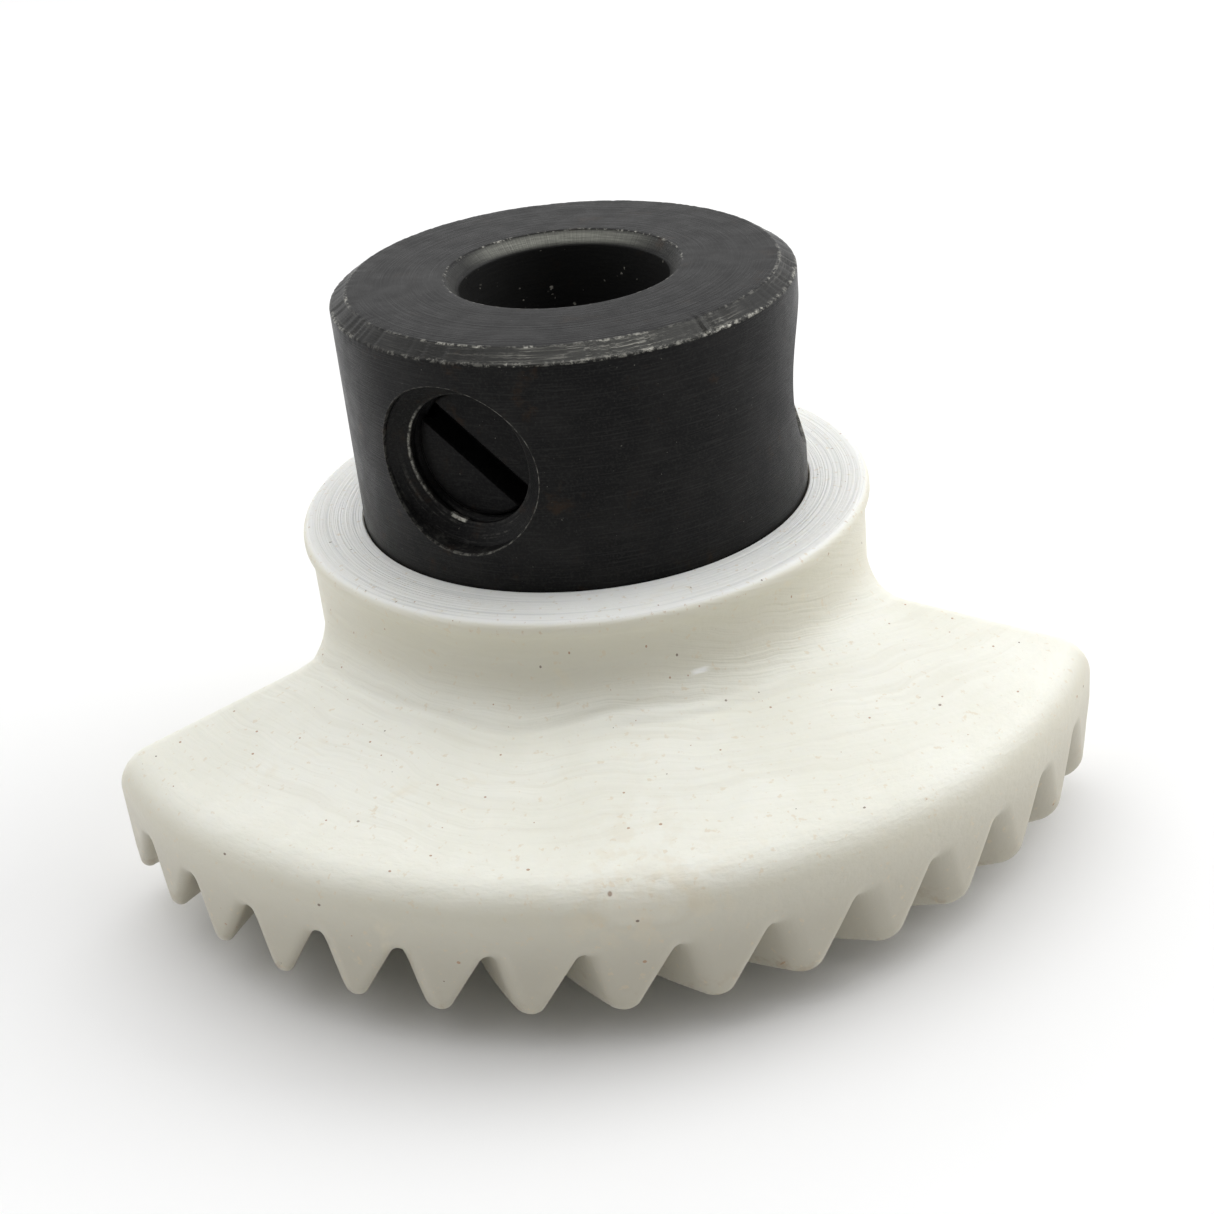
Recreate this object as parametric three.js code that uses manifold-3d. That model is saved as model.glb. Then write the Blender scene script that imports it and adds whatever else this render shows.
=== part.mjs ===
// Bevel sector gear: a moulded plastic segment on a steel hub, held on its shaft by two set screws.
// Millimetres. The gear axis is Z, z = 0 is the resting plane, and the middle of the sector faces -Y.
import * as THREE from "three";
import { mergeVertices } from "three/addons/utils/BufferGeometryUtils.js";
import Module from "manifold-3d";

const wasm = await Module();
wasm.setup();

// Steel hub
const HUB_HEIGHT = 16.5;
const HUB_RADIUS = 7.0;
const HUB_TOP_CHAMFER = { radial: 0.52, axial: 0.35 };
const HUB_FOOT_CHAMFER = 0.35;
const BORE_RADIUS = 3.175;
const BORE_CHAMFER = 0.4;
const HUB_SEGMENTS = 72;

// Straight knurl that locks the hub in the plastic
const KNURL_LOW = 1.8;
const KNURL_HIGH = 7.4;
const KNURL_ROOT_RADIUS = 6.6;
const KNURL_RIB_RADIUS = 6.9;
const KNURL_RIB_WIDTH = 1.1;
const KNURL_RIBS = 18;
const MOULD_GAP = 0.03;

// Set screws and their counterdrilled holes
const SCREW_HEIGHT = 12.8;
const SCREW_RADIUS = 1.94;
const SCREW_LENGTH = 2.4;
const SCREW_TIP_DISTANCE = 3.25;
const SCREW_POINT_CHAMFER = 0.45;
const SCREW_FACE_CHAMFER = 0.1;
const SLOT_WIDTH = 0.78;
const SLOT_DEPTH = 0.9;
const SCREW_SEGMENTS = 32;
const TAPPED_RADIUS = 2.0;
const COUNTERDRILL_RADIUS = 2.56;
const COUNTERDRILL_SHOULDER = 6.4;
const COUNTERDRILL_CONE = 0.34;
const SCREWS = [
  { name: "set_screw_front", bearing: -33, slotAngle: -38 },
  { name: "set_screw_side", bearing: 87, slotAngle: 24 },
];

// Plastic boss around the hub, a little narrower below than at its top
const BOSS_RADIUS = 8.92;
const BOSS_NECK_RADIUS = 8.75;
const BOSS_NECK_HEIGHT = 7.6;
const BOSS_TOP = 9.23;
const BOSS_FOOT = 0.2;
const BOSS_EDGE = 0.25;

// Plastic fan
const FAN_HALF_ANGLE = 69;
const FAN_RADIUS = 15.88;
const FAN_TOP_AT_RIM = 5.03;
const FAN_TOP_SLOPE = 0.21;
const FAN_UNDERSIDE = 1.5;
const COVE_RADIUS = 1.9;
const RIM_ROUND = 1.2;
const SIDE_ROUND = 1.0;
const FAN_STATIONS = 30;
const FAN_INNER_RADIUS = 8.0;

// Teeth: conical taper towards an apex on the axis, skewed by a constant angle
const TOOTH_COUNT = 39;
const FIRST_GAP = -8;
const LAST_GAP = 8;
const TOOTH_INNER_RADIUS = 11.2;
const TIP_AT_RIM = 1.21;
const ROOT_AT_RIM = 3.15;
const SKEW_ANGLE = 33.5;
const TOOTH_PHASE = -1.16;
const APEX = (TIP_AT_RIM * TOOTH_INNER_RADIUS) / (TOOTH_INNER_RADIUS - FAN_RADIUS);
const TIP_CONE = Math.atan2(TIP_AT_RIM - APEX, FAN_RADIUS);
const ROOT_CONE = Math.atan2(ROOT_AT_RIM - APEX, FAN_RADIUS);
const PITCH_CONE = (TIP_CONE + ROOT_CONE) / 2;
const GAP_ROOT_HALF_WIDTH = 0.17;
const GAP_TIP_HALF_WIDTH = 0.98;
const GAP_ROOT_ROUND = 0.2;
const GAP_STEPS = 6;
const CUT_MARGIN = 0.6;

const radians = THREE.MathUtils.degToRad;
const TOOTH_PITCH = radians(360 / TOOTH_COUNT);

const nylon = new THREE.MeshStandardMaterial({ color: 0xeeece2, roughness: 0.5, metalness: 0 });
const blackSteel = new THREE.MeshStandardMaterial({ color: 0x2b2b2c, roughness: 0.45, metalness: 0.9 });
const screwSteel = new THREE.MeshStandardMaterial({ color: 0x1c1c1d, roughness: 0.4, metalness: 0.9 });

// Point at a bearing from -Y towards +X, at a radius and a height.
function polar(radius, bearing, height) {
  return new THREE.Vector3(radius * Math.sin(bearing), -radius * Math.cos(bearing), height);
}

function solidOf(geometry) {
  geometry.deleteAttribute("normal");
  geometry.deleteAttribute("uv");
  const merged = mergeVertices(geometry);
  return new wasm.Manifold(new wasm.Mesh({
    numProp: 3,
    vertProperties: merged.attributes.position.array,
    triVerts: Uint32Array.from(merged.index.array),
  }));
}

function geometryOf(solid) {
  const mesh = solid.getMesh();
  const geometry = new THREE.BufferGeometry();
  geometry.setAttribute("position", new THREE.BufferAttribute(Float32Array.from(mesh.vertProperties), 3));
  geometry.setIndex(new THREE.BufferAttribute(Uint32Array.from(mesh.triVerts), 1));
  geometry.computeVertexNormals();
  return geometry;
}

function part(name, solid, material) {
  const mesh = new THREE.Mesh(geometryOf(solid), material);
  mesh.name = name;
  return mesh;
}

// Closed profile of [radius, height] points turned about Z.
function turned(profile, segments) {
  const points = [...profile, profile[0]].map(([radius, height]) => new THREE.Vector2(radius, height));
  return solidOf(new THREE.LatheGeometry(points, segments).rotateX(Math.PI / 2));
}

// Profile of [distance, radius] points turned about the radial axis of a set screw.
function turnedAlongBearing(profile, bearing) {
  const points = profile.map(([distance, radius]) => new THREE.Vector2(radius, distance));
  const geometry = new THREE.LatheGeometry(points, SCREW_SEGMENTS);
  geometry.rotateZ(-Math.PI / 2);
  return solidOf(placeOnBearing(geometry, bearing));
}

function placeOnBearing(geometry, bearing) {
  return geometry.rotateZ(radians(bearing - 90)).translate(0, 0, SCREW_HEIGHT);
}

// Outside of the hub, grown by a gap to cut its seat in the plastic.
function hubOutside(grow) {
  const outer = HUB_RADIUS + grow;
  const foot = -grow;
  let solid = turned([
    [0, foot],
    [outer - HUB_FOOT_CHAMFER, foot],
    [outer, foot + HUB_FOOT_CHAMFER],
    [outer, KNURL_LOW + grow],
    [KNURL_ROOT_RADIUS + grow, KNURL_LOW + grow],
    [KNURL_ROOT_RADIUS + grow, KNURL_HIGH - grow],
    [outer, KNURL_HIGH - grow],
    [outer, HUB_HEIGHT - HUB_TOP_CHAMFER.axial],
    [outer - HUB_TOP_CHAMFER.radial, HUB_HEIGHT],
    [0, HUB_HEIGHT],
  ], HUB_SEGMENTS);
  const ribReach = KNURL_RIB_RADIUS + grow;
  const ribHeight = KNURL_HIGH - KNURL_LOW;
  for (let rib = 0; rib < KNURL_RIBS; rib += 1) {
    const box = new THREE.BoxGeometry(ribReach / 2, KNURL_RIB_WIDTH + 2 * grow, ribHeight);
    box.translate(ribReach * 0.75, 0, KNURL_LOW + ribHeight / 2);
    box.rotateZ((rib * 2 * Math.PI) / KNURL_RIBS);
    solid = solid.add(solidOf(box));
  }
  return solid;
}

function hub() {
  const bore = turned([
    [0, -CUT_MARGIN],
    [BORE_RADIUS + BORE_CHAMFER, -CUT_MARGIN],
    [BORE_RADIUS + BORE_CHAMFER, 0],
    [BORE_RADIUS, BORE_CHAMFER],
    [BORE_RADIUS, HUB_HEIGHT - BORE_CHAMFER],
    [BORE_RADIUS + BORE_CHAMFER, HUB_HEIGHT],
    [BORE_RADIUS + BORE_CHAMFER, HUB_HEIGHT + CUT_MARGIN],
    [0, HUB_HEIGHT + CUT_MARGIN],
  ], HUB_SEGMENTS);
  let solid = hubOutside(0).subtract(bore);
  for (const { bearing } of SCREWS) {
    const hole = turnedAlongBearing([
      [0, 0],
      [0, TAPPED_RADIUS],
      [COUNTERDRILL_SHOULDER - COUNTERDRILL_CONE, TAPPED_RADIUS],
      [COUNTERDRILL_SHOULDER, COUNTERDRILL_RADIUS],
      [HUB_RADIUS + CUT_MARGIN, COUNTERDRILL_RADIUS],
      [HUB_RADIUS + CUT_MARGIN, 0],
    ], bearing);
    solid = solid.subtract(hole);
  }
  return solid;
}

function setScrew({ bearing, slotAngle }) {
  const face = SCREW_TIP_DISTANCE + SCREW_LENGTH;
  const blank = turnedAlongBearing([
    [SCREW_TIP_DISTANCE, 0],
    [SCREW_TIP_DISTANCE, SCREW_RADIUS - SCREW_POINT_CHAMFER],
    [SCREW_TIP_DISTANCE + SCREW_POINT_CHAMFER, SCREW_RADIUS],
    [face - SCREW_FACE_CHAMFER, SCREW_RADIUS],
    [face, SCREW_RADIUS - SCREW_FACE_CHAMFER],
    [face, 0],
  ], bearing);
  const slot = new THREE.BoxGeometry(2 * SLOT_DEPTH, 3 * SCREW_RADIUS, SLOT_WIDTH);
  slot.rotateX(radians(slotAngle)).translate(face, 0, 0);
  return blank.subtract(solidOf(placeOnBearing(slot, bearing)));
}

function fanTopAt(radius) {
  return FAN_TOP_AT_RIM + FAN_TOP_SLOPE * (FAN_RADIUS - radius);
}

// Half section of the fan: boss side, cove, conical top, rounded rim, tooth tips and underside.
function fanSection() {
  const shape = new THREE.Shape();
  const slope = Math.atan(FAN_TOP_SLOPE);
  const coveX = BOSS_NECK_RADIUS + COVE_RADIUS;
  const coveY = fanTopAt(coveX) + COVE_RADIUS / Math.cos(slope);
  const rimX = FAN_RADIUS - RIM_ROUND;
  const rimY = fanTopAt(rimX) - RIM_ROUND / Math.cos(slope);
  shape.moveTo(FAN_INNER_RADIUS, FAN_UNDERSIDE);
  shape.lineTo(TOOTH_INNER_RADIUS, FAN_UNDERSIDE);
  shape.lineTo(TOOTH_INNER_RADIUS, 0);
  shape.lineTo(FAN_RADIUS, TIP_AT_RIM);
  shape.absarc(rimX, rimY, RIM_ROUND, 0, Math.PI / 2 - slope, false);
  shape.absarc(coveX, coveY, COVE_RADIUS, -Math.PI / 2 - slope, -Math.PI, true);
  shape.lineTo(FAN_INNER_RADIUS, coveY);
  return shape;
}

// How far the top sinks at a distance from the side face, for the rounded top edge.
function sideDrop(distance) {
  const reach = Math.max(SIDE_ROUND - distance, 0);
  return SIDE_ROUND - Math.sqrt(SIDE_ROUND ** 2 - reach ** 2);
}

// The section is swept from one side face to the other, with closer stations near the faces.
function fan() {
  const geometry = new THREE.ExtrudeGeometry(fanSection(), {
    depth: 1,
    steps: FAN_STATIONS,
    bevelEnabled: false,
    curveSegments: 6,
  });
  const position = geometry.attributes.position;
  const halfAngle = radians(FAN_HALF_ANGLE);
  for (let i = 0; i < position.count; i += 1) {
    const radius = position.getX(i);
    const height = position.getY(i);
    const bearing = halfAngle * Math.sin((0.5 - position.getZ(i)) * Math.PI);
    const sideDistance = radius * Math.sin(halfAngle - Math.abs(bearing));
    const drop = height > ROOT_AT_RIM ? sideDrop(sideDistance) : 0;
    const point = polar(radius, bearing, height - drop);
    position.setXYZ(i, point.x, point.y, point.z);
  }
  return solidOf(geometry);
}

// Section of a tooth gap at the rim, from its rounded root down past the tooth tips.
function gapSection() {
  const depth = ROOT_AT_RIM - TIP_AT_RIM;
  const flank = (GAP_TIP_HALF_WIDTH - GAP_ROOT_HALF_WIDTH) / depth;
  const mouthHalfWidth = GAP_TIP_HALF_WIDTH + flank * CUT_MARGIN;
  const shape = new THREE.Shape();
  shape.moveTo(-mouthHalfWidth, -depth - CUT_MARGIN);
  shape.lineTo(mouthHalfWidth, -depth - CUT_MARGIN);
  shape.lineTo(GAP_ROOT_HALF_WIDTH + flank * GAP_ROOT_ROUND, -GAP_ROOT_ROUND);
  shape.quadraticCurveTo(GAP_ROOT_HALF_WIDTH, 0, 0, 0);
  shape.quadraticCurveTo(-GAP_ROOT_HALF_WIDTH, 0,
    -GAP_ROOT_HALF_WIDTH - flank * GAP_ROOT_ROUND, -GAP_ROOT_ROUND);
  return shape;
}

// A gap lies on spheres about the apex, shrinks towards it and swings round with the skew.
function gap(index) {
  const geometry = new THREE.ExtrudeGeometry(gapSection(), {
    depth: 1,
    steps: GAP_STEPS,
    bevelEnabled: false,
    curveSegments: 3,
  });
  const position = geometry.attributes.position;
  const rim = FAN_RADIUS / Math.cos(PITCH_CONE);
  const inner = TOOTH_INNER_RADIUS / Math.cos(PITCH_CONE) - 2 * CUT_MARGIN;
  const outer = rim + 2 * CUT_MARGIN;
  const centre = radians(TOOTH_PHASE) + (index + 0.5) * TOOTH_PITCH;
  const skew = Math.tan(radians(SKEW_ANGLE)) / Math.cos(PITCH_CONE);
  const conePerDepth = (ROOT_CONE - TIP_CONE) / (ROOT_AT_RIM - TIP_AT_RIM);
  for (let i = 0; i < position.count; i += 1) {
    const reach = THREE.MathUtils.lerp(inner, outer, position.getZ(i));
    const cone = ROOT_CONE + conePerDepth * position.getY(i);
    const bearing = centre + position.getX(i) / FAN_RADIUS + skew * Math.log(reach / rim);
    const point = polar(reach * Math.cos(cone), bearing, APEX + reach * Math.sin(cone));
    position.setXYZ(i, point.x, point.y, point.z);
  }
  return solidOf(geometry);
}

function gearSegment() {
  const boss = turned([
    [0, BOSS_FOOT],
    [BOSS_NECK_RADIUS, BOSS_FOOT],
    [BOSS_NECK_RADIUS, BOSS_NECK_HEIGHT],
    [BOSS_RADIUS, BOSS_TOP - BOSS_EDGE],
    [BOSS_RADIUS - BOSS_EDGE, BOSS_TOP],
    [0, BOSS_TOP],
  ], HUB_SEGMENTS);
  let teeth = fan();
  for (let index = FIRST_GAP; index <= LAST_GAP; index += 1) {
    teeth = teeth.subtract(gap(index));
  }
  return boss.add(teeth).subtract(hubOutside(MOULD_GAP));
}

const sectorGear = new THREE.Group();
sectorGear.add(part("gear_segment", gearSegment(), nylon));
sectorGear.add(part("steel_hub", hub(), blackSteel));
for (const screw of SCREWS) {
  sectorGear.add(part(screw.name, setScrew(screw), screwSteel));
}

export default sectorGear;
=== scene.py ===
import math

import bmesh
import bpy
import numpy as np
from mathutils import Matrix, Vector


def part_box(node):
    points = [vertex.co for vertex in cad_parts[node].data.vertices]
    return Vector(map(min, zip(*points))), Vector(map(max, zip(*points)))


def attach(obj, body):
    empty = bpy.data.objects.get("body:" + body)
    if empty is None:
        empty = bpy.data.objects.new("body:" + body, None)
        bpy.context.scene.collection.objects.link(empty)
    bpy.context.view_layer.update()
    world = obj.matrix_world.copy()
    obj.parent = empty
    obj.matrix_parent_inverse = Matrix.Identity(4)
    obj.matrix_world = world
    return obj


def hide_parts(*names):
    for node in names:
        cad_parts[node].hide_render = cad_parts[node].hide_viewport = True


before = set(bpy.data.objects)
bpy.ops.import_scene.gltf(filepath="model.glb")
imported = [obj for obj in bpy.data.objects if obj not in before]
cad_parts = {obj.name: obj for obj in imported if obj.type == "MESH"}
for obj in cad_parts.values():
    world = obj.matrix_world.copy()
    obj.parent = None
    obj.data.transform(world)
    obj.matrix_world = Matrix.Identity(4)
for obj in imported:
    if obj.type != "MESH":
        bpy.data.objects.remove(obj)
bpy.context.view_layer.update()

# Bevel sector gear: moulded nylon segment, blackened steel hub and two slotted set screws.
# Lengths below are millimetres. The gear axis is Z and the middle of the sector faces -Y.
# A bearing is an angle about Z, measured from -Y towards +X.
MM = 0.001
TURN = 2 * math.pi

# Steel hub
HUB_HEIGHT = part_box("steel_hub")[1].z / MM
HUB_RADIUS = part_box("steel_hub")[1].x / MM
HUB_TOP_CHAMFER = {"radial": 0.52, "axial": 0.35}
HUB_FOOT_CHAMFER = 0.35
BORE_RADIUS = 3.175
BORE_CHAMFER = 0.4
KNURL_LOW = 1.8
KNURL_HIGH = 7.4
KNURL_DEPTH = 0.1
HUB_CORNER_ROUND = 0.05
BORE_CORNER_ROUND = 0.04
MOULD_GAP = 0.03

# Wear of the hub's top chamfer: fine ripples all round, a bright stretch and a dent
RIPPLE_DEPTH = 0.012
FINE_RIPPLE_DEPTH = 0.008
SATIN_BEARING = math.radians(10)
DENT_BEARING = math.radians(33)
DENT_HALF_WIDTH = math.radians(3.5)
DENT_DEPTH = 0.07

# Set screws and their holes. A place along a screw is a distance from the gear axis, apart from
# the cup point's profile, which is pairs of distance from the tip and radius. The glint is a
# painted highlight at the edge of the thread.
SCREW_HEIGHT = 12.8
SCREW_TIP_DISTANCE = 3.25
SCREW_FACE_DISTANCE = 5.65
SCREW_RADIUS = 1.94
SCREW_TIP_RADIUS = 1.5
SCREW_FACE_ROUND = 0.1
SCREW_CUP = [(0.25, 0.02), (0.22, 0.5), (0, 0.95), (0, 1.15), (0.25, 1.45)]
THREAD_PITCH = 0.7
THREAD_DEPTH = 0.2
THREAD_FLANK = 1.6
THREAD_CREST = 0.3
SLOT_WIDTH = 0.78
SLOT_DEPTH = 0.9
SLOT_FLARE = 0.05
TAPPED_RADIUS = 1.99
COUNTERDRILL_RADIUS = 2.56
COUNTERDRILL_SHOULDER = 6.4
COUNTERDRILL_CONE = 0.34
CONE_START = COUNTERDRILL_SHOULDER - COUNTERDRILL_CONE
HOLE_START = 2.0
HOLE_LIP = 0.045
GLINT = {"across": -0.6, "up": -1.92, "size": 0.32}
SCREWS = [
    {"name": "set_screw_front", "body": "front_screw", "bearing": -33, "slot_angle": -38},
    {"name": "set_screw_side", "body": "side_screw", "bearing": 87, "slot_angle": 24},
]

# Nylon boss and fan
BOSS_RADIUS = 8.92
BOSS_NECK_RADIUS = 8.75
BOSS_TOP = 9.23
BOSS_FOOT = 0.2
BOSS_EDGE = 0.28
BOSS_FOOT_CHAMFER = 0.1
BOSS_LIP = 0.04
FAN_HALF_ANGLE = math.radians(69)
FAN_RADIUS = 15.88
FAN_INNER_RADIUS = 7.6
FAN_TOP_AT_RIM = 5.03
FAN_TOP_SLOPE = 0.21
FAN_UNDERSIDE = 1.5
FAN_LEAST_WALL = 0.05
COVE_RADIUS = 1.9
RIM_ROUND = 1.2
SIDE_ROUND = 1.0
CORNER_ROUND = 0.5
SIDE_FILLET = 1.1
LOWER_EDGE_ROUND = 0.4

# Bevel teeth: they taper to an apex on the axis and are skewed by a constant angle
TOOTH_COUNT = 39
TOOTH_PITCH = TURN / TOOTH_COUNT
TOOTH_PHASE = math.radians(-1.16)
TOOTH_INNER_RADIUS = 11.2
TIP_AT_RIM = 1.21
ROOT_AT_RIM = 3.15
SKEW_ANGLE = math.radians(33.5)
TIP_ROUND = 0.44
ROOT_ROUND = 0.24
TOOTH_DEPTH = ROOT_AT_RIM - TIP_AT_RIM
TOOTH_HALF_SPACE = TOOTH_PITCH * FAN_RADIUS / 2
APEX = TIP_AT_RIM * TOOTH_INNER_RADIUS / (TOOTH_INNER_RADIUS - FAN_RADIUS)
TIP_CONE = math.atan2(TIP_AT_RIM - APEX, FAN_RADIUS)
ROOT_CONE = math.atan2(ROOT_AT_RIM - APEX, FAN_RADIUS)
PITCH_CONE = (TIP_CONE + ROOT_CONE) / 2
TOOTH_TWIST = math.tan(SKEW_ANGLE) / math.cos(PITCH_CONE)

# Wavy ledges where the cove runs into the fan. "from" and "fade" are bearings in degrees, and a
# swing is a shift in millimetres, its bearing and its width in degrees. A ledge reaches its
# depth within LEDGE_START degrees of its beginning.
LEDGES = [
    {"radius": 9.6, "depth": 0.055, "width": 0.15, "from": -90, "fade": (8, 32),
     "swings": [(0.3, -17.5, 9), (-0.22, 3, 9)]},
    {"radius": 9.96, "depth": 0.035, "width": 0.14, "from": -9, "fade": (20, 45),
     "swings": [(-0.08, 4, 6), (0.2, 38, 12)]},
]
LEDGE_START = 12

# Marks in the nylon: tool lines with a swell in them, a scratch on the fan, and an oval outline
# with a dark spot on the rim
TOOL_CENTRE = (3.7, 5.0)
SWELL_X = -3.6
SWELL_WIDTH = 2.6
SWELL_HEIGHT = 1.1
SCRATCH_BEARING = math.radians(16.3)
SCRATCH_HALF_LENGTH = math.radians(2.4)
SCRATCH_RADIUS = 9.01
SCRATCH_HALF_WIDTH = 0.06
MARK_BEARING = math.radians(0.5)
MARK_HALF_WIDTH = math.radians(5.5)
MARK_HEIGHT = 4.55
MARK_HALF_HEIGHT = 0.6
SPOT_BEARING = math.radians(-2.6)
SPOT_HEIGHT = 4.9
SPOT_RADIUS = 0.065
UNROLL_RADIUS = 13.0

# Fineness of the meshes: points across the fan or round a turn, and steps along a profile
FAN_COLUMNS = 900
SIDE_COLUMNS = 26
HUB_COLUMNS = 540
BOSS_COLUMNS = 360
SCREW_COLUMNS = 128
HUB_STEP = 0.22
BOSS_STEP = 0.25
THREAD_STEP = 0.035

# Smoothing: an edge sharper than this many degrees stays sharp
NYLON_SHARP = 28
STEEL_SHARP = 32

# Colours, as linear red, green, blue and alpha
NYLON_WARM = (0.83, 0.825, 0.735, 1)
NYLON_PALE = (0.88, 0.878, 0.80, 1)
# Top of the boss's ring: a paler, more neutral tone of its own, brightened further as painted light
NYLON_RING_TONE_AND_LIGHT = (0.93, 0.935, 0.90, 1)
NYLON_RING_GROOVE = (0.66, 0.68, 0.67, 1)
# Painted shade for nylon that faces sideways
NYLON_SIDE_SHADE = (0.67, 0.64, 0.525, 1)
# Painted shade for the lower rim and teeth
NYLON_TEETH_SHADE = (0.52, 0.49, 0.405, 1)
NYLON_GROOVE = (0.74, 0.72, 0.62, 1)
NYLON_STAIN = (0.78, 0.70, 0.52, 1)
NYLON_SMUDGE = (0.66, 0.60, 0.47, 1)
NYLON_FLECK = (0.70, 0.58, 0.40, 1)
NYLON_SOILED = (0.40, 0.31, 0.21, 1)
NYLON_SCRATCH = (0.98, 0.98, 0.95, 1)
MARK_OUTLINE = (0.60, 0.54, 0.42, 1)
MARK_INSIDE = (0.86, 0.82, 0.71, 1)
MARK_TAN = (0.74, 0.65, 0.48, 1)
MARK_SPOT = (0.26, 0.15, 0.09, 1)
SPECK_DARK = (0.14, 0.085, 0.05, 1)
SPECK_BROWN = (0.42, 0.24, 0.13, 1)
RING_GRAIN = (0.55, 0.38, 0.22, 1)
OXIDE_DARK = (0.0055, 0.0055, 0.006, 1)
OXIDE_CLOUD = (0.012, 0.0115, 0.0115, 1)
OXIDE_BROWN = (0.027, 0.016, 0.009, 1)
OXIDE_BRUSHED = (0.028, 0.028, 0.027, 1)
OXIDE_GREY = (0.022, 0.022, 0.0205, 1)
OXIDE_FACE = (0.003, 0.003, 0.003, 1)
OXIDE_TURNED = (0.021, 0.021, 0.022, 1)
STEEL_DUST = (0.14, 0.135, 0.12, 1)
STEEL_SATIN = (0.065, 0.065, 0.061, 1)
# Worn bright metal; the same colour carries the painted highlights in the screw holes
STEEL_WORN_AND_HIGHLIGHTS = (0.46, 0.45, 0.40, 1)
# Cut metal of the bore's chamfer, brightened towards the back as a painted reflection
BORE_CUT_AND_REFLECTION = (0.35, 0.353, 0.31, 1)
BORE_WALL = (0.03, 0.03, 0.029, 1)
BORE_GRIT = (0.5, 0.48, 0.42, 1)
FLOOR_WHITE = (0.9, 0.9, 0.9, 1)

# Camera: the object seen from in front and above
CAMERA_PLACE = (-0.51, -56.35, 35.45)
CAMERA_BEARING = math.radians(5.19)
CAMERA_ELEVATION = math.radians(27.56)
CAMERA_ROLL = math.radians(-4.12)
CAMERA_LENS = 58.0
CAMERA_SENSOR = 36
CAMERA_SHIFT = (-0.1078, -0.0377)
CAMERA_NEAR = 1
CAMERA_FAR = 10000

# Studio: a floor, a disk lamp above on the right, and a sky. The sky multiplies two gradients:
# each goes from its first brightness to its second as the cosine to its direction goes between
# two values.
FLOOR_REACH = 900
LAMP_PLACE = (165, 50, 135)
LAMP_TARGET = (0, -5, 6)
LAMP_SIZE = 140
LAMP_POWER = 0.13
SKY_OVERHEAD = {"direction": (-0.1, 0.1, 1), "between": (0.0, 0.7), "brightness": (0.83, 1.4)}
SKY_IN_FRONT = {"direction": (-0.1, -1, 0.1), "between": (0.18, 0.82), "brightness": (1.0, 0.05)}


# ---------------------------------------------------------------- mesh tools

def polar(radius, bearing, height):
    return np.stack(np.broadcast_arrays(
        radius * np.sin(bearing), -radius * np.cos(bearing), height), axis=-1)


def mesh_object(name, points, faces):
    mesh = bpy.data.meshes.new(name)
    mesh.from_pydata((np.asarray(points).reshape(-1, 3) * MM).tolist(), [], faces)
    mesh.update()
    thing = bpy.data.objects.new(name, mesh)
    bpy.context.scene.collection.objects.link(thing)
    return thing


def grid_faces(rows, columns, close_rows=False, close_columns=False):
    faces = []
    for i in range(rows if close_rows else rows - 1):
        for j in range(columns if close_columns else columns - 1):
            k, l = (i + 1) % rows, (j + 1) % columns
            faces.append((i * columns + j, i * columns + l, k * columns + l, k * columns + j))
    return faces


def tube_object(name, grid):
    """Closed solid from rings of points: the first and last rings are capped."""
    rows, columns = grid.shape[:2]
    faces = grid_faces(rows, columns, close_columns=True)
    faces.append(tuple(range(columns))[::-1])
    faces.append(tuple((rows - 1) * columns + j for j in range(columns)))
    return outward(mesh_object(name, grid, faces))


def loop_object(name, grid):
    """Solid of revolution from a closed profile: both directions of the grid close."""
    rows, columns = grid.shape[:2]
    return outward(mesh_object(name, grid, grid_faces(rows, columns, True, True)))


def outward(thing):
    bm = bmesh.new()
    bm.from_mesh(thing.data)
    bmesh.ops.recalc_face_normals(bm, faces=bm.faces)
    if bm.calc_volume(signed=True) < 0:
        bmesh.ops.reverse_faces(bm, faces=bm.faces)
    bm.to_mesh(thing.data)
    bm.free()
    return thing


def combine(thing, cutters, operation):
    for cutter in cutters:
        modifier = thing.modifiers.new("cut", "BOOLEAN")
        modifier.operation = operation
        modifier.solver = "MANIFOLD"
        modifier.object = cutter
    shaped = bpy.data.meshes.new_from_object(
        thing.evaluated_get(bpy.context.evaluated_depsgraph_get()))
    thing.modifiers.clear()
    thing.data = shaped
    for cutter in cutters:
        bpy.data.objects.remove(cutter)
    return thing


def smooth(thing, angle):
    thing.data.shade_smooth()
    thing.data.set_sharp_from_angle(angle=math.radians(angle))
    modifier = thing.modifiers.new("normals", "WEIGHTED_NORMAL")
    modifier.keep_sharp = True
    return thing


def arc(centre, radius, start, end, steps):
    angles = np.radians(np.linspace(start, end, steps))
    return [(centre[0] + radius * math.cos(a), centre[1] + radius * math.sin(a)) for a in angles]


def subdivided(profile, step):
    """Closed profile with extra points so that no piece is longer than step."""
    points = []
    for start, end in zip(profile, profile[1:] + profile[:1]):
        count = max(1, math.ceil(math.dist(start, end) / step))
        for i in range(count):
            points.append((start[0] + (end[0] - start[0]) * i / count,
                           start[1] + (end[1] - start[1]) * i / count))
    return np.array(points)


def all_round(count):
    return np.linspace(0, TURN, count + 1)[:-1]


def wobble(bearing, seed, waves):
    """Smooth random function of an angle, made of a few sine waves, between about -1 and 1."""
    rng = np.random.default_rng(seed)
    total = 0
    for n in waves:
        total = total + rng.normal() * np.sin(n * bearing + rng.uniform(0, TURN))
    return total / math.sqrt(len(waves))


# ---------------------------------------------------------------- nylon segment

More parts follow.
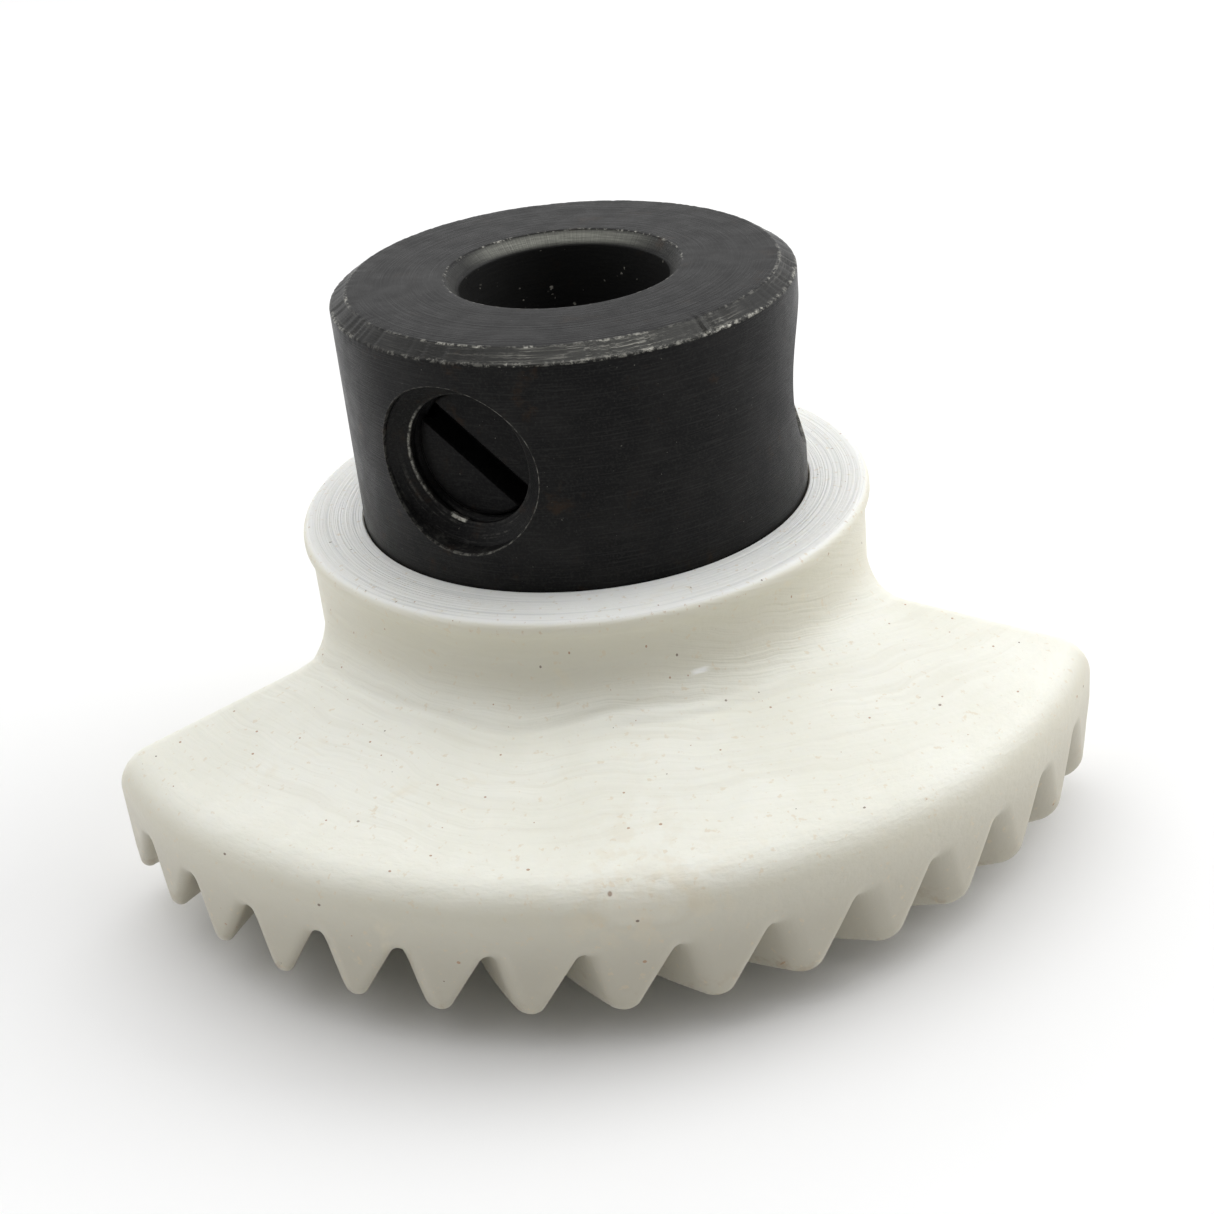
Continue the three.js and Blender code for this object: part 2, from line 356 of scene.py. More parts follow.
def tooth_rise(phase):
    """0 at a tooth's tip and 1 at a gap's root: round tip, straight flank, round root."""
    centres = TOOTH_DEPTH - TIP_ROUND - ROOT_ROUND
    lean = math.atan2(TOOTH_HALF_SPACE, centres) - math.asin(
        (TIP_ROUND + ROOT_ROUND) / math.hypot(TOOTH_HALF_SPACE, centres))
    x = 2 * TOOTH_HALF_SPACE * np.abs((phase + 0.5) % 1 - 0.5)
    far = TOOTH_HALF_SPACE - x
    tip_reach, root_reach = TIP_ROUND * math.cos(lean), ROOT_ROUND * math.cos(lean)
    tip = TIP_ROUND - np.sqrt(np.clip(TIP_ROUND ** 2 - x ** 2, 0, None))
    root = TOOTH_DEPTH - ROOT_ROUND + np.sqrt(np.clip(ROOT_ROUND ** 2 - far ** 2, 0, None))
    flank = TIP_ROUND * (1 - math.sin(lean)) + (x - tip_reach) / math.tan(lean)
    return np.where(x < tip_reach, tip, np.where(far < root_reach, root, flank)) / TOOTH_DEPTH


def underside(radius, bearing):
    """Height of the toothed side. The profile lies on spheres about the apex.

    Skew and cone angle depend on each other, so the cone angle is found in repeated steps.
    """
    cone = np.full(np.broadcast(radius, bearing).shape, PITCH_CONE)
    for _ in range(24):
        swing = TOOTH_TWIST * np.log(radius * math.cos(PITCH_CONE) / (FAN_RADIUS * np.cos(cone)))
        phase = (bearing - TOOTH_PHASE - swing) / TOOTH_PITCH
        cone = TIP_CONE + (ROOT_CONE - TIP_CONE) * tooth_rise(phase)
    return APEX + radius * np.tan(cone)


def worn_underside(radius, bearing, inset, share):
    """Toothed side drawn in by a distance, for the rounded outer ends of the teeth.

    The share, from 0 to 1, lets the rounding die out towards the side faces.
    """
    if inset == 0:
        return underside(radius, bearing)
    steps = 10
    step = inset / steps
    around = np.arange(-FAN_HALF_ANGLE * 1.1, FAN_HALF_ANGLE * 1.1, step / FAN_RADIUS)
    plain = underside(FAN_RADIUS, around)
    drawn = plain
    for k in range(-steps, steps + 1):
        rise = math.sqrt(max(inset ** 2 - (k * step) ** 2, 0))
        drawn = np.maximum(drawn, np.roll(plain, k) + rise)
    swing = TOOTH_TWIST * np.log(radius / FAN_RADIUS)
    extra = np.interp(bearing - swing, around, drawn - plain)
    return underside(radius, bearing) + extra * share


def fan_top(radius):
    return FAN_TOP_AT_RIM + FAN_TOP_SLOPE * (FAN_RADIUS - radius)


def fan_cove():
    """Centre of the cove between the boss and the top of the fan."""
    x = BOSS_NECK_RADIUS + COVE_RADIUS
    return x, fan_top(x) + COVE_RADIUS / math.cos(math.atan(FAN_TOP_SLOPE))


def quarter_drop(distance, radius):
    """How far a rounded edge falls away at a distance inside that edge."""
    reach = np.clip(radius - distance, 0, radius)
    return radius - np.sqrt(radius ** 2 - reach ** 2)


def ledge(radius, bearing):
    """Depth of the shallow wavy ledges that the tool left where the cove runs into the fan."""
    total = 0
    for spec in LEDGES:
        place = spec["radius"] + 0 * bearing
        for lean, centre, width in spec["swings"]:
            place = place + lean * np.exp(-((np.degrees(bearing) - centre) / width) ** 2)
        start, end = spec["fade"]
        share = np.clip((end - np.degrees(bearing)) / (end - start), 0, 1)
        share = share * np.clip((np.degrees(bearing) - spec["from"]) / LEDGE_START, 0, 1)
        share = share * share * (3 - 2 * share)
        total = total + spec["depth"] * share * np.exp(-((radius - place) / spec["width"]) ** 2)
    return total


def fan_columns():
    """Bearings across the fan as a share of its half width, closer together at the side faces."""
    ends = 1 - np.cumsum(np.linspace(0.0004, 0.0024, SIDE_COLUMNS))[::-1]
    middle = np.linspace(-ends[0], ends[0], FAN_COLUMNS)
    return np.concatenate([[-1], -ends[::-1], middle[1:-1], ends, [1]])


def fan_solid():
    """Fan and teeth: rows of points run out over the top, down the rim and back underneath."""
    share = fan_columns()
    slope = math.atan(FAN_TOP_SLOPE)
    cove_x, cove_y = fan_cove()
    rim_x = FAN_RADIUS - RIM_ROUND
    rim_y = fan_top(rim_x) - RIM_ROUND / math.cos(slope)
    tilt = math.degrees(slope)

    top = [(FAN_INNER_RADIUS, cove_y), (BOSS_NECK_RADIUS - 0.4, cove_y)]
    top += arc((cove_x, cove_y), COVE_RADIUS, -180, -90 - tilt, 44)
    flat_end = (rim_x + RIM_ROUND * math.cos(math.radians(90 - tilt)),
                rim_y + RIM_ROUND * math.sin(math.radians(90 - tilt)))
    last = top[-1]
    top += [(last[0] + (flat_end[0] - last[0]) * q, last[1] + (flat_end[1] - last[1]) * q)
            for q in np.linspace(0, 1, 30)[1:-1]]
    top += arc((rim_x, rim_y), RIM_ROUND, 90 - tilt, 0, 18)
    top = np.array(top)

    def bearing_at(radius):
        fillet = quarter_drop(radius - BOSS_NECK_RADIUS, SIDE_FILLET)
        half = FAN_HALF_ANGLE + fillet / radius
        return share * half, radius * np.sin(np.clip(half * (1 - np.abs(share)), 0, 1.5))

    rows = []
    for radius, height in top:
        bearing, inside = bearing_at(radius)
        pull = quarter_drop(inside, CORNER_ROUND) * np.clip((radius - rim_x) / RIM_ROUND, 0, 1)
        drop = quarter_drop(inside, SIDE_ROUND) + ledge(radius, bearing)
        rows.append(polar(radius - pull, bearing, height - drop))

    bearing, inside = bearing_at(FAN_RADIUS)
    pull = quarter_drop(inside, CORNER_ROUND)
    wall_top = rim_y - quarter_drop(inside, SIDE_ROUND)
    worn = np.clip(inside / SIDE_ROUND, 0.1, 1)
    wall_low = worn_underside(FAN_RADIUS - pull, bearing, LOWER_EDGE_ROUND, worn)
    wall_low = np.minimum(wall_low, wall_top - FAN_LEAST_WALL)
    for q in np.linspace(0, 1, 12)[1:]:
        rows.append(polar(FAN_RADIUS - pull, bearing, wall_top + (wall_low - wall_top) * q))
    wall_end = len(rows) - 1
    for angle in np.radians([12, 24, 36, 48, 60, 72, 82]):
        radius = FAN_RADIUS - pull - worn * LOWER_EDGE_ROUND * (1 - math.cos(angle))
        inset = LOWER_EDGE_ROUND * (1 - math.sin(angle))
        low_edge = worn_underside(radius, bearing, inset, worn)
        rows.append(polar(radius, bearing, np.minimum(low_edge, wall_top - FAN_LEAST_WALL)))
    for q in np.linspace(0, 1, 26):
        outer = FAN_RADIUS - pull - worn * LOWER_EDGE_ROUND
        radius = outer + (TOOTH_INNER_RADIUS - outer) * q
        here, _ = bearing_at(radius)
        rows.append(polar(radius, here, underside(radius, here)))
    here, _ = bearing_at(TOOTH_INNER_RADIUS)
    for q in (0.5, 1):
        low_edge = underside(TOOTH_INNER_RADIUS, here)
        rows.append(polar(TOOTH_INNER_RADIUS, here, low_edge + (FAN_UNDERSIDE - low_edge) * q))
    for radius in np.linspace(TOOTH_INNER_RADIUS, FAN_INNER_RADIUS, 10)[1:]:
        here, _ = bearing_at(radius)
        rows.append(polar(radius, here, FAN_UNDERSIDE))
    grid = np.stack(rows)
    columns = len(share)
    faces = grid_faces(len(rows), columns, close_rows=True)
    for column in (0, columns - 1):
        faces += side_face(grid, wall_end, column)
    return outward(mesh_object("gear_sector", grid, faces))


def side_face(grid, wall_end, column):
    """Triangles that close one side of the fan, between its top outline and its lower outline."""
    rows, columns = grid.shape[:2]
    reach = np.hypot(grid[:, column, 0], grid[:, column, 1])
    upper = list(range(wall_end + 1))
    lower = list(range(rows - 1, wall_end, -1))
    faces = []
    i = j = 0
    while i < len(upper) - 1 or j < len(lower) - 1:
        corner = (upper[i], lower[j])
        behind = reach[upper[i]] <= reach[lower[j]] and i < len(upper) - 1
        if behind or j == len(lower) - 1:
            i += 1
            corner += (upper[i],)
        else:
            j += 1
            corner += (lower[j],)
        faces.append(tuple(row * columns + column for row in corner))
    return faces


def boss_solid():
    """Ring round the hub. Its neck curves outwards above the cove, on the cove's own arc."""
    inner = HUB_RADIUS + MOULD_GAP
    profile = [(inner, BOSS_FOOT), (BOSS_NECK_RADIUS - BOSS_FOOT_CHAMFER, BOSS_FOOT),
               (BOSS_NECK_RADIUS, BOSS_FOOT + BOSS_FOOT_CHAMFER)]
    waist = fan_cove()[1]
    climb = math.degrees(math.acos(1 - (BOSS_RADIUS - BOSS_NECK_RADIUS) / COVE_RADIUS))
    profile += arc((BOSS_NECK_RADIUS + COVE_RADIUS, waist), COVE_RADIUS, 180, 180 - climb, 9)
    profile += arc((BOSS_RADIUS - BOSS_EDGE, BOSS_TOP - BOSS_EDGE), BOSS_EDGE, 0, 90, 9)
    profile += [(inner + BOSS_LIP, BOSS_TOP), (inner, BOSS_TOP - BOSS_LIP)]
    profile = subdivided(profile, BOSS_STEP)
    bearings = all_round(BOSS_COLUMNS)
    return loop_object("boss", polar(profile[:, :1], bearings[None, :], profile[:, 1:]))


def gear_sector():
    return smooth(combine(fan_solid(), [boss_solid()], "UNION"), NYLON_SHARP)


# ---------------------------------------------------------------- steel hub

def hub_profile():
    """Half section of the hub, from the bore's lower chamfer round the outside to its upper one."""
    profile = [(BORE_RADIUS, BORE_CHAMFER), (BORE_RADIUS + BORE_CHAMFER, 0)]
    profile += [(HUB_RADIUS - HUB_FOOT_CHAMFER, 0), (HUB_RADIUS, HUB_FOOT_CHAMFER)]
    profile += [(HUB_RADIUS, KNURL_LOW), (HUB_RADIUS - KNURL_DEPTH, KNURL_LOW + KNURL_DEPTH)]
    profile += [(HUB_RADIUS - KNURL_DEPTH, KNURL_HIGH - KNURL_DEPTH), (HUB_RADIUS, KNURL_HIGH)]
    shoulder = (HUB_RADIUS, HUB_HEIGHT - HUB_TOP_CHAMFER["axial"])
    brow = (HUB_RADIUS - HUB_TOP_CHAMFER["radial"], HUB_HEIGHT)
    profile += softened([(HUB_RADIUS, HUB_HEIGHT - 2), shoulder, brow,
                         (BORE_RADIUS + 2, HUB_HEIGHT)], HUB_CORNER_ROUND)
    profile += softened([(BORE_RADIUS + 2, HUB_HEIGHT), (BORE_RADIUS + BORE_CHAMFER, HUB_HEIGHT),
                         (BORE_RADIUS, HUB_HEIGHT - BORE_CHAMFER),
                         (BORE_RADIUS, HUB_HEIGHT - 2)], BORE_CORNER_ROUND)[1:]
    return profile


def softened(points, reach):
    """Open profile whose inner corners are rounded by a short curve."""
    result = [points[0]]
    for before, corner, after in zip(points, points[1:], points[2:]):
        corner, before, after = Vector(corner), Vector(before), Vector(after)
        start = corner + (before - corner).normalized() * reach
        end = corner + (after - corner).normalized() * reach
        for q in np.linspace(0, 1, 5):
            result.append(tuple(start.lerp(corner, q).lerp(corner.lerp(end, q), q)))
    return result + [points[-1]]


def hub_blank():
    """Turned hub, with ripples and a dent worn into its top chamfer."""
    profile = subdivided(hub_profile(), HUB_STEP)
    bearings = all_round(HUB_COLUMNS)
    radius = np.repeat(profile[:, :1], len(bearings), 1)
    height = np.repeat(profile[:, 1:], len(bearings), 1)
    rim = np.exp(-((radius - HUB_RADIUS + 0.2) / 0.35) ** 2)
    rim = rim * np.exp(-((height - HUB_HEIGHT + 0.15) / 0.3) ** 2)
    ripple = RIPPLE_DEPTH * wobble(bearings, 3, range(5, 60, 5))
    ripple = np.abs(ripple + FINE_RIPPLE_DEPTH * wobble(bearings, 4, range(61, 200, 9)))
    height = height - rim * ripple[None, :] * 1.5
    radius = radius - rim * ripple[None, :]
    dent = np.exp(-((bearings - DENT_BEARING) / DENT_HALF_WIDTH) ** 2)
    dent = dent * (1 + 0.7 * wobble(bearings, 9, range(90, 240, 13)))
    height = height - DENT_DEPTH * rim * dent[None, :]
    return loop_object("hub", polar(radius, bearings[None, :], height))


def threaded(radius, along, around):
    """Radius of a thread at a distance along the axis and an angle around it."""
    phase = (along / THREAD_PITCH - around / TURN) % 1
    flank = THREAD_FLANK * np.abs(2 * phase - 1) - THREAD_CREST
    return radius - THREAD_DEPTH * np.clip(flank, 0, 1)


def along_bearing(along, around, radius, bearing):
    """Points round the axis of a set screw, which lies along a bearing."""
    b = math.radians(bearing)
    out = np.array([math.sin(b), -math.cos(b), 0.0])
    side = np.array([math.cos(b), math.sin(b), 0.0])
    up = np.array([0.0, 0.0, 1.0])
    along, around, radius = np.broadcast_arrays(along, around, radius)
    return (along[..., None] * out + (radius * np.cos(around))[..., None] * side
            + (radius * np.sin(around))[..., None] * up + SCREW_HEIGHT * up)


def screw_rings(rows, around, bearing):
    """Rings of points round a set screw's axis, from pairs of distance along it and radius."""
    return np.stack([along_bearing(along, around, radius, bearing) for along, radius in rows])


def hole_cutter(bearing):
    """Tapped hole with its thread, the counterdrill's cone and a softened mouth."""
    around = all_round(SCREW_COLUMNS)
    rows = []
    for along in np.arange(HOLE_START, CONE_START - 0.05, THREAD_STEP):
        bite = 2 * THREAD_DEPTH + threaded(TAPPED_RADIUS, along, around) - TAPPED_RADIUS
        fade = np.clip((CONE_START - 0.1 - along) / 0.15, 0, 1)
        rows.append((along, TAPPED_RADIUS + (bite - THREAD_DEPTH) * fade))
    rows.append((CONE_START, TAPPED_RADIUS))
    for q in np.linspace(0, 1, 6)[1:]:
        rows.append((CONE_START + COUNTERDRILL_CONE * q,
                     TAPPED_RADIUS + (COUNTERDRILL_RADIUS - TAPPED_RADIUS) * q))
    wall = np.sqrt(HUB_RADIUS ** 2 - (COUNTERDRILL_RADIUS * np.cos(around)) ** 2)
    rows.append((wall - HOLE_LIP, COUNTERDRILL_RADIUS))
    rows.append((wall, COUNTERDRILL_RADIUS + HOLE_LIP * 0.6))
    rows.append((wall + HOLE_LIP * 4, COUNTERDRILL_RADIUS + HOLE_LIP * 4))
    rows.append((HUB_RADIUS + 1, COUNTERDRILL_RADIUS + HOLE_LIP * 4))
    return tube_object("hole", screw_rings(rows, around, bearing))


def hub():
    cutters = [hole_cutter(s["bearing"]) for s in SCREWS]
    return smooth(combine(hub_blank(), cutters, "DIFFERENCE"), STEEL_SHARP)


# ---------------------------------------------------------------- set screws

def screw(spec):
    """Set screw with a cup point, a thread that fades out at the face, and a slot."""
    around = all_round(SCREW_COLUMNS)
    tip, face = SCREW_TIP_DISTANCE, SCREW_FACE_DISTANCE
    rows = [(tip + along, radius) for along, radius in SCREW_CUP]
    for along in np.arange(tip + 0.3, face - 0.12, THREAD_STEP):
        fade = np.clip((face - 0.12 - along) / 0.2, 0, 1)
        radius = SCREW_RADIUS + (threaded(SCREW_RADIUS, along, around) - SCREW_RADIUS) * fade
        start = np.clip((along - tip - 0.25) / 0.3, 0, 1)
        limit = SCREW_TIP_RADIUS + (SCREW_RADIUS - SCREW_TIP_RADIUS) * start
        rows.append((along, np.minimum(radius, limit)))
    for q in np.radians(np.linspace(0, 90, 6)):
        rows.append((face - SCREW_FACE_ROUND * (1 - math.sin(q)),
                     SCREW_RADIUS - SCREW_FACE_ROUND * (1 - math.cos(q))))
    for radius in np.linspace(SCREW_RADIUS - SCREW_FACE_ROUND, 0.02, 14)[1:]:
        rows.append((face, radius))
    blank = tube_object(spec["name"] + "_threaded", screw_rings(rows, around, spec["bearing"]))
    return smooth(combine(blank, [slot_cutter(spec)], "DIFFERENCE"), STEEL_SHARP)


def slot_cutter(spec):
    """Bar with a flared mouth, so the slot's edges come out slightly rounded."""
    face, half, bevel = SCREW_FACE_DISTANCE, SLOT_WIDTH / 2, 0.05
    foot, flare, reach = face - SLOT_DEPTH, SLOT_FLARE, 0.4
    side = [(foot, half - bevel), (foot + bevel, half), (face - flare, half),
            (face - flare * 0.3, half + flare * 0.3), (face + reach, half + reach)]
    outline = side + [(along, -across) for along, across in side[::-1]]
    along, across = np.array(outline).T
    turn = math.radians(spec["slot_angle"])
    rows = []
    for end in (-3, 3):
        x = end * math.cos(turn) - across * math.sin(turn)
        z = end * math.sin(turn) + across * math.cos(turn)
        rows.append(along_bearing(along, np.arctan2(z, x), np.hypot(x, z), spec["bearing"]))
    return tube_object("slot", np.stack(rows))


# ---------------------------------------------------------------- materials

class Nodes:
    """Small helper that builds a material's node tree."""

    def __init__(self, name):
        self.material = bpy.data.materials.new(name)
        self.material.use_nodes = True
        self.tree = self.material.node_tree
        self.shader = self.tree.nodes["Principled BSDF"]
        place = self.tree.nodes.new("ShaderNodeTexCoord")
        self.place = self.vector("MULTIPLY", place.outputs["Object"], (1 / MM,) * 3)

    def plug(self, socket, value):
        if isinstance(value, bpy.types.NodeSocket):
            self.tree.links.new(value, socket)
        else:
            socket.default_value = value

    def node(self, kind, settings, inputs, output=0):
        made = self.tree.nodes.new(kind)
        for key, value in settings.items():
            setattr(made, key, value)
        for key, value in inputs.items():
            self.plug(made.inputs[key], value)
        return made.outputs[output]

    def vector(self, operation, *values):
        return self.node("ShaderNodeVectorMath", {"operation": operation}, dict(enumerate(values)),
                         1 if operation in ("LENGTH", "DOT_PRODUCT", "DISTANCE") else 0)

    def math(self, operation, *values):
        """A maths node. With more than two values the operation is repeated along them."""
        result = values[0]
        if len(values) == 1:
            return self.node("ShaderNodeMath", {"operation": operation}, {0: result})
        for value in values[1:]:
            result = self.node("ShaderNodeMath", {"operation": operation}, {0: result, 1: value})
        return result

    def times(self, *values):
        return self.math("MULTIPLY", *values)

    def plus(self, *values):
        return self.math("ADD", *values)

    def minus(self, value, less):
        return self.math("SUBTRACT", value, less)

    def most(self, *values):
        return self.math("MAXIMUM", *values)

    def ramp(self, value, low, high, to_low=0.0, to_high=1.0):
        return self.node("ShaderNodeMapRange", {"interpolation_type": "SMOOTHSTEP"},
                         {"Value": value, "From Min": low, "From Max": high,
                          "To Min": to_low, "To Max": to_high})

    def band(self, value, centre, half_width):
        """1 on a value, falling to 0 at a half width on both sides."""
        off = self.math("ABSOLUTE", self.minus(value, centre))
        return self.ramp(off, half_width, half_width * 0.25)

    def noise(self, scale, detail=3.0, roughness=0.5, vector=None, distortion=0.0):
        return self.node("ShaderNodeTexNoise", {},
                         {"Vector": vector or self.place, "Scale": scale, "Detail": detail,
                          "Roughness": roughness, "Distortion": distortion})

    def drawn(self, detail, roughness, x, y, z, distortion=0.0):
        """Noise over three values, each drawn out by its own scale: (value, scale) or a number."""
        parts = [self.times(*part) if isinstance(part, tuple) else part for part in (x, y, z)]
        return self.noise(1.0, detail, roughness, self.join(*parts), distortion)

    def mix(self, share, first, second):
        made = self.tree.nodes.new("ShaderNodeMix")
        made.data_type = "RGBA"
        self.plug(made.inputs[0], share)
        self.plug(made.inputs[6], first)
        self.plug(made.inputs[7], second)
        return made.outputs[2]

    def bump(self, height, distance, strength):
        return self.node("ShaderNodeBump", {},
                         {"Height": height, "Distance": distance * MM, "Strength": strength})

    def split(self, vector):
        made = self.tree.nodes.new("ShaderNodeSeparateXYZ")
        self.plug(made.inputs[0], vector)
        return made.outputs

    def join(self, x, y, z):
        return self.node("ShaderNodeCombineXYZ", {}, {"X": x, "Y": y, "Z": z})

    def round_axis(self):
        """Radius from the gear axis, bearing and height, in millimetres and radians."""
        x, y, z = self.split(self.place)
        radius = self.vector("LENGTH", self.join(x, y, 0.0))
        return radius, self.math("ARCTAN2", x, self.times(y, -1.0)), z

    def set(self, **values):
        for key, value in values.items():
            self.plug(self.shader.inputs[key.replace("_", " ")], value)
        return self.material


def nylon_material():
    """Natural nylon: warm white, with stains and specks, tool lines and turned rings."""
    n = Nodes("nylon")
    radius, bearing, height = n.round_axis()
    arc_length = n.times(bearing, UNROLL_RADIUS)
    along_section = n.minus(radius, height)
    upright = n.math("ABSOLUTE", n.split(n.node("ShaderNodeNewGeometry", {}, {}, "Normal"))[2])
    on_ring = n.times(n.ramp(height, BOSS_TOP - 0.2, BOSS_TOP - 0.05), n.ramp(upright, 0.6, 0.95))
    cloud = n.noise(0.22, 4.0, 0.55)

    tint = n.mix(n.ramp(cloud, 0.35, 0.65), NYLON_WARM, NYLON_PALE)
    # The ring's top: partly its own paler tone, partly painted light that brightens it.
    tint = n.mix(on_ring, tint, NYLON_RING_TONE_AND_LIGHT)
    # Painted shade: surfaces that face sideways are darker and warmer, going by their normal.
    tint = n.mix(n.ramp(upright, 0.25, 0.95, 0.8, 0.0), tint, NYLON_SIDE_SHADE)
    # Painted shade: the rim and teeth get darker towards their lower edge.
    teeth = n.times(n.ramp(radius, 12.0, 15.5), n.ramp(height, 5.3, 2.4, 0.0, 0.9))
    tint = n.mix(teeth, tint, NYLON_TEETH_SHADE)
    tint = nylon_stains(n, tint, radius, bearing, height, n.join(arc_length, along_section, 0.0))
    tint, relief = nylon_tooling(n, tint, radius, bearing, height, on_ring)

    on_rim = n.times(n.ramp(radius, 13.2, 15.0), n.ramp(height, 2.6, 3.6))
    mottle = n.drawn(4.0, 0.6, (arc_length, 1.5), (along_section, 2.2), 7.0)
    relief = n.plus(relief, n.times(mottle, on_rim, 1.1), n.times(n.noise(5.0, 4.0, 0.6), 0.3))
    return n.set(Base_Color=tint, Roughness=n.ramp(cloud, 0.3, 0.7, 0.4, 0.52),
                 Normal=n.bump(relief, 0.05, 0.75), Subsurface_Weight=0.15,
                 Subsurface_Radius=(1.0, 0.85, 0.6), Subsurface_Scale=0.001, IOR=1.5)


def nylon_stains(n, tint, radius, bearing, height, unrolled):
    """Stains, smudges, the moulding mark, ring grains, the scratch, specks and soiled teeth."""
    stain = n.ramp(n.noise(0.5, 4.0, 0.65, distortion=0.6), 0.6, 0.78, 0.0, 0.35)
    tint = n.mix(stain, tint, NYLON_STAIN)
    smudge = n.ramp(n.noise(2.2, 5.0, 0.7, vector=unrolled), 0.62, 0.8, 0.0, 0.35)
    tint = n.mix(smudge, tint, NYLON_SMUDGE)
    tint = moulding_mark(n, tint, bearing, height)
    tint = ring_grains(n, tint, radius, height)
    scratch = n.times(n.band(bearing, SCRATCH_BEARING, SCRATCH_HALF_LENGTH),
                      n.band(radius, SCRATCH_RADIUS, SCRATCH_HALF_WIDTH),
                      n.ramp(height, 5.0, 6.0))
    tint = n.mix(scratch, tint, NYLON_SCRATCH)
    tint = n.mix(specks(n, unrolled, 0.7, 0.84, 0.05), tint, SPECK_DARK)
    tint = n.mix(specks(n, unrolled, 1.25, 0.82, 0.045), tint, SPECK_BROWN)
    spot = n.vector("DISTANCE", n.join(n.times(bearing, UNROLL_RADIUS), height, 0.0),
                    (UNROLL_RADIUS * SPOT_BEARING, SPOT_HEIGHT, 0.0))
    tint = n.mix(n.ramp(spot, SPOT_RADIUS, 0.03, 0.0, 0.75), tint, MARK_SPOT)
    tint = n.mix(n.ramp(n.noise(4.2, 2.0, 0.6), 0.63, 0.72, 0.0, 0.4), tint, NYLON_FLECK)
    low_teeth = n.times(n.ramp(height, 2.3, 1.3), n.ramp(radius, 13.5, 15))
    soiled = n.times(low_teeth, n.ramp(n.noise(1.8, 4.0, 0.65), 0.52, 0.68, 0.0, 0.45))
    return n.mix(soiled, tint, NYLON_SOILED)


def nylon_tooling(n, tint, radius, bearing, height, on_ring):
    """Tool lines over the fan and lathe rings on the boss, as darker grooves and as relief."""
    path = tool_path(n)
    lines = n.drawn(2.0, 0.55, (path, 3.4), (bearing, 2.2), 0.0)
    broad = n.drawn(2.0, 0.5, (path, 1.1), (bearing, 1.5), 4.0)
    rings = n.drawn(3.0, 0.6, (radius, 11.0), (bearing, 0.9), 0.0)
    tooled = n.times(n.ramp(height, 4.2, 5.0), n.ramp(radius, 15.3, 12.8, 0.12, 1.0),
                     n.minus(1.0, on_ring))
    tint = n.mix(n.times(n.ramp(lines, 0.45, 0.3, 0.0, 0.25), tooled), tint, NYLON_GROOVE)
    tint = n.mix(n.times(n.ramp(broad, 0.5, 0.35, 0.0, 0.25), tooled), tint, NYLON_GROOVE)
    tint = n.mix(n.times(n.ramp(rings, 0.47, 0.33, 0.0, 0.4), on_ring), tint, NYLON_RING_GROOVE)
    relief = n.times(n.plus(lines, n.times(broad, 0.8)), tooled)
    return tint, n.plus(relief, n.times(rings, on_ring, 1.2))


def specks(n, unrolled, scale, share, size):
    """Small embedded grains: one cell in a few holds a spot of random size."""
    cells = n.node("ShaderNodeTexVoronoi", {"voronoi_dimensions": "2D"},
                   {"Vector": unrolled, "Scale": scale}).node.outputs
    chance = n.split(cells["Color"])[0]
    edge = n.ramp(chance, share, 1.0, 0.0, size * scale)
    return n.times(n.math("LESS_THAN", cells["Distance"], edge), 0.8)


def tool_path(n):
    """Distance across the tool's lines: arcs about a centre off the axis, with a swell."""
    x, y, z = n.split(n.place)
    reach = n.vector("LENGTH", n.join(n.minus(x, TOOL_CENTRE[0]), n.minus(y, TOOL_CENTRE[1]), 0.0))
    offset = n.math("DIVIDE", n.minus(x, SWELL_X), SWELL_WIDTH)
    swell = n.math("EXPONENT", n.times(offset, offset, -1.0))
    path = n.minus(n.minus(reach, n.times(z, 1.5)), n.times(swell, SWELL_HEIGHT))
    return n.plus(path, n.times(n.noise(0.35, 2.0, 0.5), 1.4))


def moulding_mark(n, tint, bearing, height):
    """Faint oval outline on the rim, left in the moulding, with tan stains round it."""
    wave = n.noise(1.6, 3.0, 0.6)
    across = n.math("DIVIDE", n.minus(bearing, MARK_BEARING), MARK_HALF_WIDTH)
    up = n.math("DIVIDE", n.minus(height, MARK_HEIGHT), MARK_HALF_HEIGHT)
    reach = n.vector("LENGTH", n.join(across, up, 0.0))
    reach = n.plus(reach, n.times(n.minus(wave, 0.5), 0.9))
    outline = n.times(n.ramp(reach, 0.75, 0.95), n.ramp(reach, 1.2, 1.0), 0.16)
    tint = n.mix(outline, tint, MARK_OUTLINE)
    stained = n.times(n.ramp(reach, 2.6, 1.0), n.ramp(wave, 0.45, 0.62, 0.0, 0.3))
    tint = n.mix(stained, tint, MARK_TAN)
    return n.mix(n.ramp(reach, 0.9, 0.5, 0.0, 0.22), tint, MARK_INSIDE)


def ring_grains(n, tint, radius, height):
    """Brown grains along the outer edge of the boss's top ring."""
    edge = n.times(n.band(radius, BOSS_RADIUS - 0.08, 0.3),
                   n.ramp(height, BOSS_TOP - 0.5, BOSS_TOP - 0.2))
    grains = n.ramp(n.noise(4.5, 3.0, 0.65), 0.62, 0.72, 0.0, 0.5)
    return n.mix(n.times(edge, grains), tint, RING_GRAIN)


